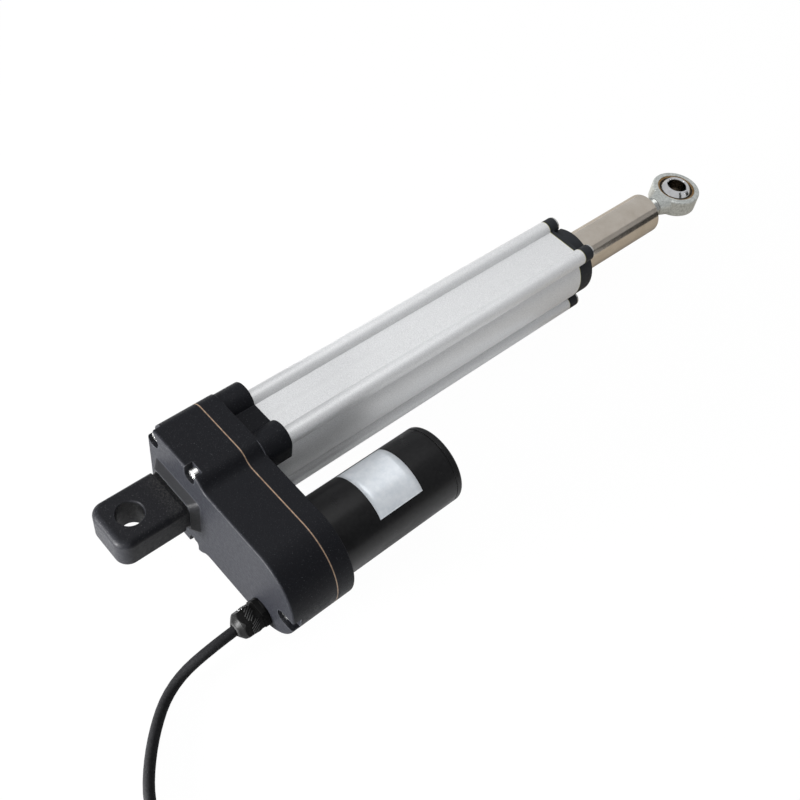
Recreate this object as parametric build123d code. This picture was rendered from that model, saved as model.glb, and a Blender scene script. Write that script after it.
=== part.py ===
from build123d import *
from math import acos, cos, pi, radians, sin, sqrt, tan
import os

# Electric linear actuator with a motor beside its tube. Lengths in mm, angles in degrees.
# The origin is the centre of the rear eye. +X is the stroke, +Z runs along the eye bores,
# and the motor lies on the -Y side. The rod stands as in the photograph, partly extended.

os.makedirs("parts", exist_ok=True)

# Clearances
slip = 0.1            # between neighbouring pieces that are pushed or cast together
bush_play = 0.08      # radial play of a shaft or rod in its bush
body_gap = 0.3        # between sliding pieces that only guide each other
ball_gap = 0.3        # between the ball and its race
tooth_play = 0.12     # taken off each gear tooth at the pitch circle

# Rod, tube and lead screw: everything round about the stroke's axis follows the rod
rod_r = 15.0
rod_wall = 3.4
rod_bore_r = rod_r - rod_wall
screw_r = rod_bore_r - 1.6
journal_r = screw_r - 1.5
tip_journal_r = screw_r - 3.0
drive_nut_r = rod_r - 1.0
guide_bush_r = rod_r + 2.2
wiper_r = guide_bush_r + 1.0
carrier_wall = 5.5
tube_wall = 3.7
tube_bore_r = rod_r + carrier_wall
tube_core_r = tube_bore_r + tube_wall

# Outer tube
tube_end_x = 348.2
tube_flat_z = tube_core_r - 0.1
lobe_reach = tube_core_r + 4.05
lobe_angle = radians(53.5)
lobe_y = lobe_reach * cos(lobe_angle)
lobe_z = lobe_reach * sin(lobe_angle)
lobe_r = 5.6
tube_flat_half_width = lobe_y - lobe_r + 0.5
key_groove_depth = 1.6
key_groove_width = 5.4
switch_slot_width = 12.0
switch_slot_depth = 2.2
tube_screw_r = 2.0
tube_screw_head_r = 3.4

# Rear clevis
rear_eye_r = 8.0
rear_eye_chamfer = 0.35
tongue_half_width = 17.2
tongue_half_height = 11.1
tongue_end_x = -16.8
tongue_corner_r = 8.2
tongue_edge_r = 4.0
root_groove_x = 23.8
root_groove_depth = 0.9
clevis_flange_length = 6.0

# Gear case
motor_y = -72.0
case_rear_x = 30.8
gasket_x = 61.0
gasket_thickness = 0.6
case_front_x = 73.0
case_wall = 3.0
case_end_wall = 3.6
front_wall_x = 69.0
case_neck_half_height = 32.0
shoulder_rise = 5.8
shoulder_run = 5.5
shoulder_share = 0.49       # of the slope's length, taken by each of its two roundings
case_half_height = case_neck_half_height + shoulder_rise
case_shoulder_y = -19.5
case_neck_y = case_shoulder_y - shoulder_run
case_corner_r = 9.5
case_edge_r = 1.5
collar_start_x = 26.5
collar_lip = 0.5
collar_half_width = 21.4
collar_half_height = 15.0
collar_corner_r = 3.4

# Tube socket on the front of the gear case, flush with its top
socket_end_x = 90.0
socket_lobe_y = lobe_y + 0.5
socket_lobe_z = lobe_z + 4.8
socket_lobe_r = case_half_height - socket_lobe_z - 0.1
socket_panel_z = tube_flat_z + 6.4
socket_low_z = lobe_z - 3.7
socket_edge_r = 1.2
case_far_y = socket_lobe_y + socket_lobe_r + 0.5

# Screws of the gear case: y, z, the angle that each pocket opens to and its radius
far_pocket_r = 5.6
pocket_r = 4.5
far_screw_y = case_far_y - 5.6
far_screw_z = case_half_height - 8.6
near_screw_y = -12.6
near_screw_z = case_half_height - 4.8
end_screw_y = motor_y - case_neck_half_height + 9.0
end_screw_z = -2.5
case_screw_places = [
    (far_screw_y, far_screw_z, 45, far_pocket_r),
    (far_screw_y, -far_screw_z, -45, far_pocket_r),
    (near_screw_y, near_screw_z, 90, pocket_r),
    (near_screw_y, -near_screw_z, -90, pocket_r),
    (end_screw_y, end_screw_z, 180, pocket_r),
]
case_screw_r = 2.0
case_screw_head_r = 3.5
case_screw_head_length = 4.2
pocket_depth = 5.3
pocket_wall = 1.6
pocket_reach = 14.0
boss_r = 4.2
screw_end_x = 72.0

# Front cap
tube_start_x = case_front_x
cap_gasket_thickness = 0.3
cap_end_x = 361.05
cap_lobe_end_x = 356.5
cap_plate_end_x = 351.5
cap_spigot_x = 334.0
cap_screw_head_r = 5.3
cap_screw_head_length = 2.0
cap_screw_end_x = 330.0
wiper_x = 356.4

# Rod and its nut, in the photograph's position
rod_end_x = 449.8
rod_chamfer = 1.8
carrier_start_x = 157.0
carrier_end_x = 195.0
carrier_seat_x = 183.0
drive_nut_length = 24.0
plug_start_x = 425.0
retaining_pin_x = 189.0
retaining_pin_r = 1.5

# Rod end with its ball
front_eye_x = 486.5
front_eye_r = 7.0
front_eye_chamfer = 0.9
ball_r = 13.0
ball_half_width = 9.5
race_r = 14.25
race_half_width = 6.0
head_r = 18.3
head_half_width = 6.75
head_edge_r = 1.2
shank_r = 7.0
shank_start_x = 427.0
neck_start_x = 461.0
neck_r = 10.5

# Lead screw and its bearing
screw_start_x = 36.2
shoulder_x = 70.0
screw_tip_x = 332.0
tip_guide_start_x = 325.0
bearing_start_x = 40.4
bearing_width = 12.0
bearing_r = journal_r + 11.5
clevis_flange_r = bearing_r - slip
bearing_ring = 3.2
bearing_ball_r = 3.4
bearing_ball_count = 9
lock_nut_r = journal_r + 3.7
lock_nut_length = 4.0

# Gear train between the motor and the lead screw
idler_y = -40.0
pressure_angle = radians(20)
pinion_teeth = 14
idler_gear_teeth = 50
first_module = 1.0
idler_pinion_teeth = 28
spindle_gear_teeth = 36
second_module = 1.25
spindle_gear_x = 53.0
spindle_gear_width = 7.0
spindle_hub_r = journal_r + 3.5
idler_pinion_x = 52.4
idler_pinion_width = 8.2
idler_gear_x = 61.4
idler_gear_width = 6.0
motor_pinion_x = 60.8
motor_pinion_width = 7.4
idler_hub_r = 9.0
idler_bush_r = 6.0
idler_shaft_r = 4.0
idler_boss_r = 8.0

# Motor
motor_r = 25.2
motor_wall = 1.7
motor_cap_x = 157.4
motor_end_x = 162.1
motor_edge_r = 2.0
motor_seam = 0.5
motor_flange_end_x = 78.0
motor_shaft_r = 3.0
motor_bearing_r = 8.0
motor_bearing_width = 5.0
magnet_thickness = 5.3
magnet_inner_r = motor_r - motor_wall - magnet_thickness
air_gap = 0.7
core_r = magnet_inner_r - air_gap
core_start_x = 106.0
core_end_x = 138.0
slot_count = 12
slot_r = 2.4
slot_place_r = core_r - 3.3
winding_overhang = 8.0
winding_step = 0.5
magnet_start_x = 100.0
magnet_end_x = 144.0
magnet_half_angle = 68.0
commutator_r = 8.0
commutator_start_x = 84.0
commutator_length = 12.0
brush_plate_x = 81.0
brush_plate_thickness = 3.0
brush_width = 6.0
brush_length = 9.0
brush_guide_wall = 1.5
motor_screw_y = 12.0
motor_screw_r = 1.75
motor_screw_head_r = 3.2
motor_screw_head_length = 2.2

# Cable, its gland and its leads
gland_y = -77.5
gland_thread_r = 6.0
gland_z = gland_thread_r + case_wall + 1.5 - case_neck_half_height
gland_flange_r = 8.6
gland_flange_x = 29.7
gland_body_flats = 16.2
gland_body_x = 26.8
gland_nut_flats = 15.2
gland_nut_end_x = 12.6
gland_neck_x = 19.0
gland_inner_x = 39.0
gland_bore_r = 4.4
gland_exit_r = 3.8
gland_seal_length = 7.0
cable_r = 3.1
cable_length = 1000.0
cable_inner_end_x = 42.0
lead_r = 0.9
lead_spread = 1.2
lead_end_x = 79.5
lead_bend_x = 49.0
lead_hole_x = 60.0
lead_bend_r = 6.0
lead_hole_r = 2.8
lead_hole_angle = radians(210)
lead_reach = motor_bearing_r + 7.5
lead_y = motor_y + lead_reach * cos(lead_hole_angle)
lead_z = lead_reach * sin(lead_hole_angle)
floor_z = -case_half_height
cable_z = floor_z + cable_r
coil_centre = (-112.0, -168.0)
coil_mid_r = 35.0
coil_layers = 2

# Cable route from the gland along the floor to its coil
cable_route = [
    (33.0, gland_y, gland_z),
    (2.0, gland_y, gland_z),
    (-29.0, -76.3, cable_z),
    (-54.0, -95.8, cable_z),
    (-74.0, -122.5, cable_z),
    (-76.0, -146.0, cable_z),
    (-74.1, -164.0, cable_z),
]

# Limit switches
board_thickness = 1.0
board_width = 11.0
board_start_x = 84.0
board_end_x = 333.0
switch_centres_x = [96.0, 322.0]
switch_length = 14.0
switch_width = 6.0
switch_height = 1.6
carrier_flat_y = 1.5 - tube_bore_r


def x_cylinder(radius, x0, x1, y=0.0, z=0.0):
    """A cylinder along X."""
    return Pos(x0, y, z) * Rot(0, 90, 0) * Cylinder(
        radius, x1 - x0, align=(Align.CENTER, Align.CENTER, Align.MIN))


def x_ring(outer, inner, x0, x1, y=0.0, z=0.0):
    """A ring or sleeve along X."""
    return x_cylinder(outer, x0, x1, y, z) - x_cylinder(inner, x0 - 1, x1 + 1, y, z)


def x_prism(face, x0, x1):
    """A face drawn in Y and Z, pushed along X."""
    return extrude(Plane.YZ.offset(x0) * face, amount=x1 - x0)


def corner_places(y, z):
    """The four places of a rectangle about the tube's axis."""
    return [(sy * y, sz * z) for sy in (1, -1) for sz in (1, -1)]


def joined(pieces):
    """All pieces fused into one."""
    result = pieces[0]
    for piece in pieces[1:]:
        result += piece
    return result


def case_outline():
    """The gear case seen along X: a square end for the screw, a round one for the motor."""
    upper_round = (motor_y, case_neck_half_height)
    lower_round = (motor_y, -case_neck_half_height)
    far_end = (motor_y - case_neck_half_height, 0)
    sides = Polyline(
        upper_round,
        (case_neck_y, case_neck_half_height),
        (case_shoulder_y, case_half_height),
        (case_far_y, case_half_height),
        (case_far_y, -case_half_height),
        (case_shoulder_y, -case_half_height),
        (case_neck_y, -case_neck_half_height),
        lower_round,
    )
    round_end = ThreePointArc(lower_round, far_end, upper_round)
    face = make_face([sides, round_end])
    far_corners = face.vertices().filter_by(lambda v: v.X > case_far_y - 1)
    face = fillet(far_corners, case_corner_r)
    slope = Vector(shoulder_run, shoulder_rise)
    half_turn = radians(slope.get_angle(Vector(1, 0))) / 2
    shoulder_r = shoulder_share * slope.length / tan(half_turn)
    shoulders = face.vertices().filter_by(lambda v: case_neck_y - slip < v.X < case_shoulder_y + slip)
    return fillet(shoulders, shoulder_r)


def slot_face(radius, place):
    """A round-bottomed slot about a screw, open to the outside of the case."""
    y, z, angle, pocket = place
    way_out = Pos(pocket_reach / 2, 0) * Rectangle(pocket_reach, 2 * radius)
    return Pos(y, z) * Rot(0, 0, angle) * (Circle(radius) + way_out)


def case_cavity():
    """The hollow inside the gear case, around the screw bosses."""
    hollow = offset(case_outline(), amount=-case_wall, kind=Kind.INTERSECTION)
    for place in case_screw_places:
        hollow -= slot_face(boss_r, place)
    return hollow


def tongue_face(extra=0.0):
    """The tongue's cross-section in Y and Z."""
    width = 2 * (tongue_half_width + extra)
    height = 2 * (tongue_half_height + extra)
    return RectangleRounded(width, height, tongue_edge_r)


def rear_clevis():
    inner_x = case_rear_x + case_end_wall
    length = inner_x - tongue_end_x
    middle = (inner_x + tongue_end_x) / 2
    tongue = Pos(middle, 0, 0) * Box(length, 2 * tongue_half_width, 2 * tongue_half_height)
    ends = tongue.edges().filter_by(Axis.Z).group_by(Axis.X)[0]
    tongue = fillet(ends, tongue_corner_r)
    end_edges = tongue.faces().sort_by(Axis.Z)[-1].edges() + tongue.faces().sort_by(Axis.Z)[0].edges()
    front_x = inner_x - 1
    rounded = [e for e in end_edges if e.center().X < front_x]
    tongue = fillet(rounded, tongue_edge_r)
    root_groove = tongue_face(slip) - tongue_face(-root_groove_depth)
    tongue -= x_prism(root_groove, root_groove_x, collar_start_x)
    tongue += x_cylinder(clevis_flange_r, inner_x, inner_x + clevis_flange_length)
    nut_room_x = screw_start_x - 1
    tongue -= x_cylinder(lock_nut_r + body_gap, nut_room_x, inner_x + clevis_flange_length + 1)
    tongue -= Cylinder(rear_eye_r, 4 * tongue_half_height)
    rims = tongue.edges().filter_by(GeomType.CIRCLE).filter_by(lambda e: abs(e.radius - rear_eye_r) < 0.01)
    return chamfer(rims, rear_eye_chamfer)


def clevis_collar():
    """The flare that the tongue comes out of."""
    start = Plane.YZ.offset(collar_start_x) * tongue_face(slip + collar_lip)
    end = Plane.YZ.offset(case_rear_x) * RectangleRounded(
        2 * collar_half_width, 2 * collar_half_height, collar_corner_r)
    return loft([start, end])


def rear_housing():
    inner_x = case_rear_x + case_end_wall
    end_x = gasket_x - gasket_thickness / 2
    body = x_prism(case_outline(), case_rear_x, end_x)
    rear_edges = body.faces().sort_by(Axis.X)[0].edges()
    body = fillet(rear_edges, case_edge_r)
    body -= x_prism(case_cavity(), inner_x, end_x + 1)
    cup_end_x = bearing_start_x + bearing_width - 1
    body += x_cylinder(bearing_r + case_wall, inner_x - 1, cup_end_x)
    body -= x_cylinder(bearing_r, inner_x, cup_end_x + 1)
    body += x_cylinder(idler_boss_r, inner_x - 1, idler_pinion_x - 1, idler_y)
    body -= x_cylinder(idler_shaft_r, inner_x + 1, idler_pinion_x, idler_y)
    body += clevis_collar()
    body -= x_prism(tongue_face(slip), collar_start_x - 1, inner_x + 1)
    body -= x_cylinder(gland_thread_r, case_rear_x - 1, inner_x + 1, gland_y, gland_z)
    seat_x = case_rear_x + pocket_depth
    inside = offset(case_outline(), amount=-case_wall / 2)
    for place in case_screw_places:
        walls = slot_face(place[3] + pocket_wall, place) & inside
        body += x_prism(walls, inner_x - 1, seat_x + case_wall)
        body -= x_prism(slot_face(place[3], place), case_rear_x - 1, seat_x)
        body -= x_cylinder(case_screw_r + slip, case_rear_x, end_x + 1, place[0], place[1])
    return body


def housing_gasket():
    half = gasket_thickness / 2
    face = case_outline() - case_cavity()
    for y, z, angle, pocket in case_screw_places:
        face -= Pos(y, z) * Circle(case_screw_r + slip)
    return x_prism(face, gasket_x - half, gasket_x + half)


def tube_outline():
    """The extruded tube from outside: a round core, two flats and four screw lobes."""
    face = Circle(tube_core_r) + Rectangle(2 * tube_flat_half_width, 2 * tube_flat_z)
    for y, z in corner_places(lobe_y, lobe_z):
        face += Pos(y, z) * Circle(lobe_r)
    return face


def socket_face():
    """The outline of the saddles that hold the tube above and below."""
    outer_y = socket_lobe_y + socket_lobe_r
    face = Rectangle(2 * socket_lobe_y, 2 * socket_panel_z) + Rectangle(2 * outer_y, 2 * socket_lobe_z)
    for y, z in corner_places(socket_lobe_y, socket_lobe_z):
        face += Pos(y, z) * Circle(socket_lobe_r)
    return face


def tube_socket():
    """Both saddles, open at the sides, with the tube's seat between them."""
    saddles = x_prism(socket_face(), case_front_x - 1, socket_end_x)
    saddles = fillet(saddles.faces().sort_by(Axis.X)[-1].edges(), socket_edge_r)
    length = socket_end_x - case_front_x + 4
    middle = (socket_end_x + case_front_x) / 2
    saddles -= Pos(middle, 0, 0) * Box(length, 4 * socket_lobe_z, 2 * socket_low_z)
    seat = offset(tube_outline(), amount=slip)
    return saddles - x_prism(seat, case_front_x - 2, socket_end_x + 1)


def front_housing():
    start_x = gasket_x + gasket_thickness / 2
    body = x_prism(case_outline(), start_x, case_front_x)
    front_edges = body.faces().sort_by(Axis.X)[-1].edges()
    body = fillet(front_edges, case_edge_r / 2)
    body += tube_socket()
    body -= x_prism(case_cavity(), start_x - 1, front_wall_x)
    body -= x_cylinder(screw_r + body_gap, front_wall_x - 1, case_front_x + 1)
    body -= x_cylinder(idler_shaft_r, front_wall_x - 1, case_front_x - 1, idler_y)
    body -= x_cylinder(motor_bearing_r, front_wall_x - 1, case_front_x + 1, motor_y)
    body -= x_cylinder(lead_hole_r, front_wall_x - 1, case_front_x + 1, lead_y, lead_z)
    for y, z, angle, pocket in case_screw_places:
        body -= x_cylinder(case_screw_r, start_x - 1, screw_end_x, y, z)
    for y, z in corner_places(lobe_y, lobe_z):
        body -= x_cylinder(tube_screw_r, front_wall_x - 1, case_front_x + 1, y, z)
    for side in (1, -1):
        body -= x_cylinder(motor_screw_r, front_wall_x - 1, case_front_x + 1, motor_y, side * motor_screw_y)
    return body


def pan_screw(shank_r, head_r, head_length, head_x, tip_x, y, z):
    """A screw whose head lies at head_x and whose tip points to tip_x."""
    way = 1 if tip_x > head_x else -1
    back_x = head_x - way * head_length
    head = x_cylinder(head_r, min(back_x, head_x), max(back_x, head_x), y, z)
    rim = head.edges().group_by(Axis.X)[0 if way > 0 else -1]
    head = fillet(rim, head_length / 3)
    return head + x_cylinder(shank_r, min(head_x, tip_x), max(head_x, tip_x), y, z)


def housing_screws():
    seat_x = case_rear_x + pocket_depth
    return [pan_screw(case_screw_r, case_screw_head_r, case_screw_head_length, seat_x, screw_end_x, y, z)
            for y, z, angle, pocket in case_screw_places]


def tube_screws():
    return [pan_screw(tube_screw_r, tube_screw_head_r, cap_screw_head_length, front_wall_x, socket_end_x, y, z)
            for y, z in corner_places(lobe_y, lobe_z)]


def outer_tube():
    tube = x_prism(tube_outline(), tube_start_x, tube_end_x)
    tube -= x_cylinder(tube_bore_r, tube_start_x - 1, tube_end_x + 1)
    groove_y = tube_bore_r + key_groove_depth / 2 - 1
    long_middle = (tube_start_x + tube_end_x) / 2
    length = tube_end_x - tube_start_x + 2
    tube -= Pos(long_middle, groove_y, 0) * Box(length, key_groove_depth + 2, key_groove_width)
    slot_y = -(tube_bore_r + switch_slot_depth / 2 - 2)
    tube -= Pos(long_middle, slot_y, 0) * Box(length, switch_slot_depth + 4, switch_slot_width)
    for y, z in corner_places(lobe_y, lobe_z):
        tube -= x_cylinder(tube_screw_r, tube_start_x - 1, tube_end_x + 1, y, z)
    return tube


def front_cap_gasket():
    face = tube_outline() - Circle(tube_bore_r)
    for y, z in corner_places(lobe_y, lobe_z):
        face -= Pos(y, z) * Circle(tube_screw_r + slip)
    return x_prism(face, tube_end_x, tube_end_x + cap_gasket_thickness)


def front_end_cap():
    start_x = tube_end_x + cap_gasket_thickness
    cap = x_cylinder(tube_core_r, start_x, cap_end_x)
    rim = cap.edges().group_by(Axis.X)[-1]
    cap = fillet(rim, case_edge_r / 2)
    cap += x_prism(tube_outline(), start_x, cap_plate_end_x)
    for y, z in corner_places(lobe_y, lobe_z):
        cap += x_cylinder(lobe_r, start_x, cap_lobe_end_x, y, z)
    cap += x_cylinder(tube_bore_r - slip, cap_spigot_x, start_x + 1)
    cap -= x_cylinder(guide_bush_r, cap_spigot_x - 1, wiper_x)
    cap -= x_cylinder(wiper_r, wiper_x, cap_end_x + 1)
    for y, z in corner_places(lobe_y, lobe_z):
        cap -= x_cylinder(tube_screw_r + slip, start_x - 1, cap_lobe_end_x + 1, y, z)
        cap -= x_cylinder(cap_screw_head_r + slip, cap_lobe_end_x, cap_end_x + 1, y, z)
    return cap


def front_cap_screws():
    return [pan_screw(tube_screw_r, cap_screw_head_r, cap_screw_head_length, cap_lobe_end_x,
                      cap_screw_end_x, y, z)
            for y, z in corner_places(lobe_y, lobe_z)]


def rod_guide_bush():
    return x_ring(guide_bush_r, rod_r + bush_play, cap_spigot_x, wiper_x)


def rod_wiper_seal():
    return x_ring(wiper_r, rod_r + bush_play, wiper_x, cap_end_x)


def piston_rod():
    rod = x_cylinder(rod_r, carrier_seat_x, rod_end_x)
    rim = rod.edges().group_by(Axis.X)[-1]
    rod = chamfer(rim, rod_chamfer)
    rod -= x_cylinder(rod_bore_r, carrier_seat_x - 1, rod_end_x + 1)
    return rod - retaining_pins(slip)


def retaining_pins(extra=0.0):
    """Two cross pins that lock the rod in its carrier."""
    reach = (rod_bore_r + tube_bore_r) / 2 + 1
    length = tube_bore_r - body_gap - rod_bore_r - 2
    top = Pos(retaining_pin_x, 0, reach) * Cylinder(retaining_pin_r, length)
    bottom = Pos(retaining_pin_x, 0, -reach) * Cylinder(retaining_pin_r, length)
    return top + bottom


def nut_carrier():
    body = x_cylinder(tube_bore_r - body_gap, carrier_start_x, carrier_end_x)
    middle = (carrier_start_x + carrier_end_x) / 2
    length = carrier_end_x - carrier_start_x
    flat_depth = tube_bore_r + carrier_flat_y
    body -= Pos(middle, carrier_flat_y - flat_depth, 0) * Box(length, 2 * flat_depth, 2 * tube_bore_r)
    key_y = tube_bore_r + key_groove_depth - body_gap
    body += Pos(middle, key_y - 2, 0) * Box(length, 4, key_groove_width - 2 * body_gap)
    nut_end_x = carrier_start_x + drive_nut_length
    body -= x_cylinder(drive_nut_r, carrier_start_x - 1, nut_end_x)
    body -= x_cylinder(rod_bore_r, nut_end_x - 1, carrier_end_x)
    body -= x_cylinder(rod_r, carrier_seat_x, carrier_end_x + 1)
    return body - retaining_pins()


def drive_nut():
    return x_ring(drive_nut_r, screw_r + body_gap, carrier_start_x, carrier_start_x + drive_nut_length)


def rod_end_plug():
    return x_ring(rod_bore_r, shank_r, plug_start_x, rod_end_x)


def rod_end_body():
    head = Pos(front_eye_x, 0, 0) * Cylinder(head_r, 2 * head_half_width)
    head = fillet(head.edges(), head_edge_r)
    neck_end_x = front_eye_x - race_r
    neck = Plane.YZ.offset(neck_start_x) * Circle(shank_r)
    neck_root = Plane.YZ.offset(neck_end_x) * Circle(neck_r)
    slab = Pos(front_eye_x - head_r, 0, 0) * Box(4 * head_r, 4 * head_r, 2 * head_half_width)
    body = head + (loft([neck, neck_root]) & slab) + x_cylinder(shank_r, shank_start_x, neck_start_x)
    return body - Pos(front_eye_x, 0, 0) * Cylinder(race_r, 4 * head_half_width)


def rod_end_race():
    ring = Cylinder(race_r, 2 * race_half_width) - Sphere(ball_r + ball_gap)
    return Pos(front_eye_x, 0, 0) * ring


def rod_end_ball():
    ball = Sphere(ball_r) & Box(4 * ball_r, 4 * ball_r, 2 * ball_half_width)
    ball -= Cylinder(front_eye_r, 4 * ball_half_width)
    rims = ball.edges().filter_by(GeomType.CIRCLE).filter_by(lambda e: abs(e.radius - front_eye_r) < 0.01)
    return Pos(front_eye_x, 0, 0) * chamfer(rims, front_eye_chamfer)


def lead_screw():
    screw = x_cylinder(journal_r, screw_start_x, shoulder_x)
    screw += x_cylinder(screw_r, shoulder_x, tip_guide_start_x)
    return screw + x_cylinder(tip_journal_r, tip_guide_start_x, screw_tip_x)


def screw_tip_guide():
    return x_ring(rod_bore_r - body_gap, tip_journal_r, tip_guide_start_x, screw_tip_x)


def spindle_lock_nut():
    face = RegularPolygon(lock_nut_r, 6) - Circle(journal_r)
    return x_prism(face, screw_start_x, screw_start_x + lock_nut_length)


def bearing_outer_ring():
    end_x = bearing_start_x + bearing_width
    ring = x_ring(bearing_r, bearing_r - bearing_ring, bearing_start_x, end_x)
    return ring - bearing_track()


def bearing_inner_ring():
    end_x = bearing_start_x + bearing_width
    ring = x_ring(journal_r + bearing_ring, journal_r, bearing_start_x, end_x)
    return ring - bearing_track()


def bearing_track():
    """The groove that the balls run in."""
    pitch_r = (bearing_r + journal_r) / 2
    middle_x = bearing_start_x + bearing_width / 2
    return Pos(middle_x, 0, 0) * Rot(0, 90, 0) * Torus(pitch_r, bearing_ball_r + bush_play)


def bearing_balls():
    pitch_r = (bearing_r + journal_r) / 2
    middle_x = bearing_start_x + bearing_width / 2
    return [Pos(middle_x, pitch_r * cos(2 * pi * i / bearing_ball_count),
                pitch_r * sin(2 * pi * i / bearing_ball_count)) * Sphere(bearing_ball_r)
            for i in range(bearing_ball_count)]


def gear_face(teeth, module, tooth_angle):
    """An involute spur gear in Y and Z with one tooth centred at tooth_angle."""
    pitch_r = module * teeth / 2
    base_r = pitch_r * cos(pressure_angle)
    tip_r = pitch_r + module
    root_r = pitch_r - 1.25 * module
    start_r = max(base_r, root_r)
    pitch_half = (pi * module / 2 - tooth_play) / (2 * pitch_r)
    base_half = pitch_half + tan(pressure_angle) - pressure_angle

    def half_angle(radius):
        turn = acos(min(1.0, base_r / radius))
        return base_half - (tan(turn) - turn)

    def place(radius, angle):
        return (radius * cos(angle), radius * sin(angle))

    flank_radii = [start_r, (start_r + tip_r) / 2, tip_r]
    edges = []
    for i in range(teeth):
        centre = tooth_angle + 2 * pi * i / teeth
        following = centre + 2 * pi / teeth
        rise = [place(r, centre - half_angle(r)) for r in flank_radii]
        fall = [place(r, centre + half_angle(r)) for r in reversed(flank_radii)]
        next_start = place(start_r, following - half_angle(start_r))
        edges.append(ThreePointArc(*rise))
        edges.append(ThreePointArc(rise[-1], place(tip_r, centre), fall[0]))
        edges.append(ThreePointArc(*fall))
        foot = place(root_r, centre + half_angle(start_r))
        next_foot = place(root_r, following - half_angle(start_r))
        if start_r > root_r + 0.01:
            edges.append(Line(fall[-1], foot))
        valley = place(root_r, centre + pi / teeth)
        edges.append(ThreePointArc(foot, valley, next_foot))
        if start_r > root_r + 0.01:
            edges.append(Line(next_foot, next_start))
    return make_face(edges)


def spindle_gear():
    meeting_angle = pi + pi / spindle_gear_teeth
    face = gear_face(spindle_gear_teeth, second_module, meeting_angle)
    end_x = spindle_gear_x + spindle_gear_width
    gear = x_prism(face, spindle_gear_x, end_x) + x_cylinder(spindle_hub_r, end_x, front_wall_x - slip)
    return gear - x_cylinder(journal_r, spindle_gear_x - 1, front_wall_x + 1)


def idler_pinion():
    end_x = idler_pinion_x + idler_pinion_width
    hub_end_x = idler_gear_x + idler_gear_width
    gear = x_prism(gear_face(idler_pinion_teeth, second_module, 0), idler_pinion_x, end_x)
    gear += x_cylinder(idler_hub_r, end_x, hub_end_x)
    gear -= x_cylinder(idler_bush_r, idler_pinion_x - 1, hub_end_x + 1)
    return Pos(0, idler_y, 0) * gear


def idler_gear():
    meeting_angle = pi + pi / idler_gear_teeth
    gear = x_prism(gear_face(idler_gear_teeth, first_module, meeting_angle),
                   idler_gear_x, idler_gear_x + idler_gear_width)
    gear -= x_cylinder(idler_hub_r, idler_gear_x - 1, idler_gear_x + idler_gear_width + 1)
    return Pos(0, idler_y, 0) * gear


def idler_bush():
    end_x = idler_gear_x + idler_gear_width
    return x_ring(idler_bush_r, idler_shaft_r + bush_play, idler_pinion_x, end_x, idler_y)


def idler_shaft():
    start_x = case_rear_x + case_end_wall + 1
    return x_cylinder(idler_shaft_r, start_x, case_front_x - 1, idler_y)


def motor_pinion():
    face = gear_face(pinion_teeth, first_module, 0)
    gear = x_prism(face, motor_pinion_x, motor_pinion_x + motor_pinion_width)
    gear -= x_cylinder(motor_shaft_r, motor_pinion_x - 1, motor_pinion_x + motor_pinion_width + 1)
    return Pos(0, motor_y, 0) * gear


def motor_can():
    can = x_cylinder(motor_r, case_front_x, motor_cap_x, motor_y)
    can = chamfer(can.edges().group_by(Axis.X)[-1], motor_seam)
    return can - x_cylinder(motor_r - motor_wall, case_front_x - 1, motor_cap_x + 1, motor_y)


def motor_end_cap():
    cap = x_cylinder(motor_r, motor_cap_x, motor_end_x, motor_y)
    rim = cap.edges().group_by(Axis.X)[-1]
    cap = fillet(rim, motor_edge_r)
    cap = chamfer(cap.edges().group_by(Axis.X)[0], motor_seam)
    seat_x = motor_cap_x - motor_bearing_width
    cap += x_cylinder(motor_bearing_r + 2, seat_x, motor_cap_x, motor_y)
    return cap - x_cylinder(motor_bearing_r, seat_x - 1, motor_cap_x, motor_y)


def motor_flange():
    plate = x_cylinder(motor_r - motor_wall, case_front_x, motor_flange_end_x, motor_y)
    plate -= x_cylinder(motor_bearing_r, case_front_x - 1, motor_flange_end_x + 1, motor_y)
    plate -= x_cylinder(lead_hole_r, case_front_x - 1, motor_flange_end_x + 1, lead_y, lead_z)
    for side in (1, -1):
        plate -= x_cylinder(motor_screw_r, case_front_x - 1, motor_flange_end_x + 1,
                            motor_y, side * motor_screw_y)
    return plate


def motor_screws():
    return [pan_screw(motor_screw_r, motor_screw_head_r, motor_screw_head_length, front_wall_x,
                      motor_flange_end_x, motor_y, side * motor_screw_y)
            for side in (1, -1)]


def motor_bearings():
    front_x = case_front_x
    rear_x = motor_cap_x - motor_bearing_width
    return [x_ring(motor_bearing_r, motor_shaft_r + bush_play, x, x + motor_bearing_width, motor_y)
            for x in (front_x, rear_x)]


def motor_shaft():
    return x_cylinder(motor_shaft_r, motor_pinion_x - 1, motor_cap_x - 1, motor_y)


def slot_places():
    return [(slot_place_r * cos(2 * pi * i / slot_count), slot_place_r * sin(2 * pi * i / slot_count))
            for i in range(slot_count)]


def armature_core():
    face = Circle(core_r) - Circle(motor_shaft_r)
    for i, (y, z) in enumerate(slot_places()):
        face -= Pos(y, z) * Circle(slot_r)
        angle = 360 * i / slot_count
        face -= Rot(0, 0, angle) * Pos(core_r, 0) * Rectangle(2 * (core_r - slot_place_r), slot_r / 2)
    return Pos(0, motor_y, 0) * x_prism(face, core_start_x, core_end_x)


def armature_windings():
    face = Circle(core_r - winding_step) - Circle(motor_shaft_r + winding_step)
    rear = x_prism(face, core_start_x - winding_overhang, core_start_x)
    front = x_prism(face, core_end_x, core_end_x + winding_overhang)
    rear = fillet(rear.edges().group_by(Axis.X)[0], 1.2)
    front = fillet(front.edges().group_by(Axis.X)[-1], 1.2)
    bars = [x_cylinder(slot_r, core_start_x, core_end_x, y, z) for y, z in slot_places()]
    return Pos(0, motor_y, 0) * joined([rear, front] + bars)


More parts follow.
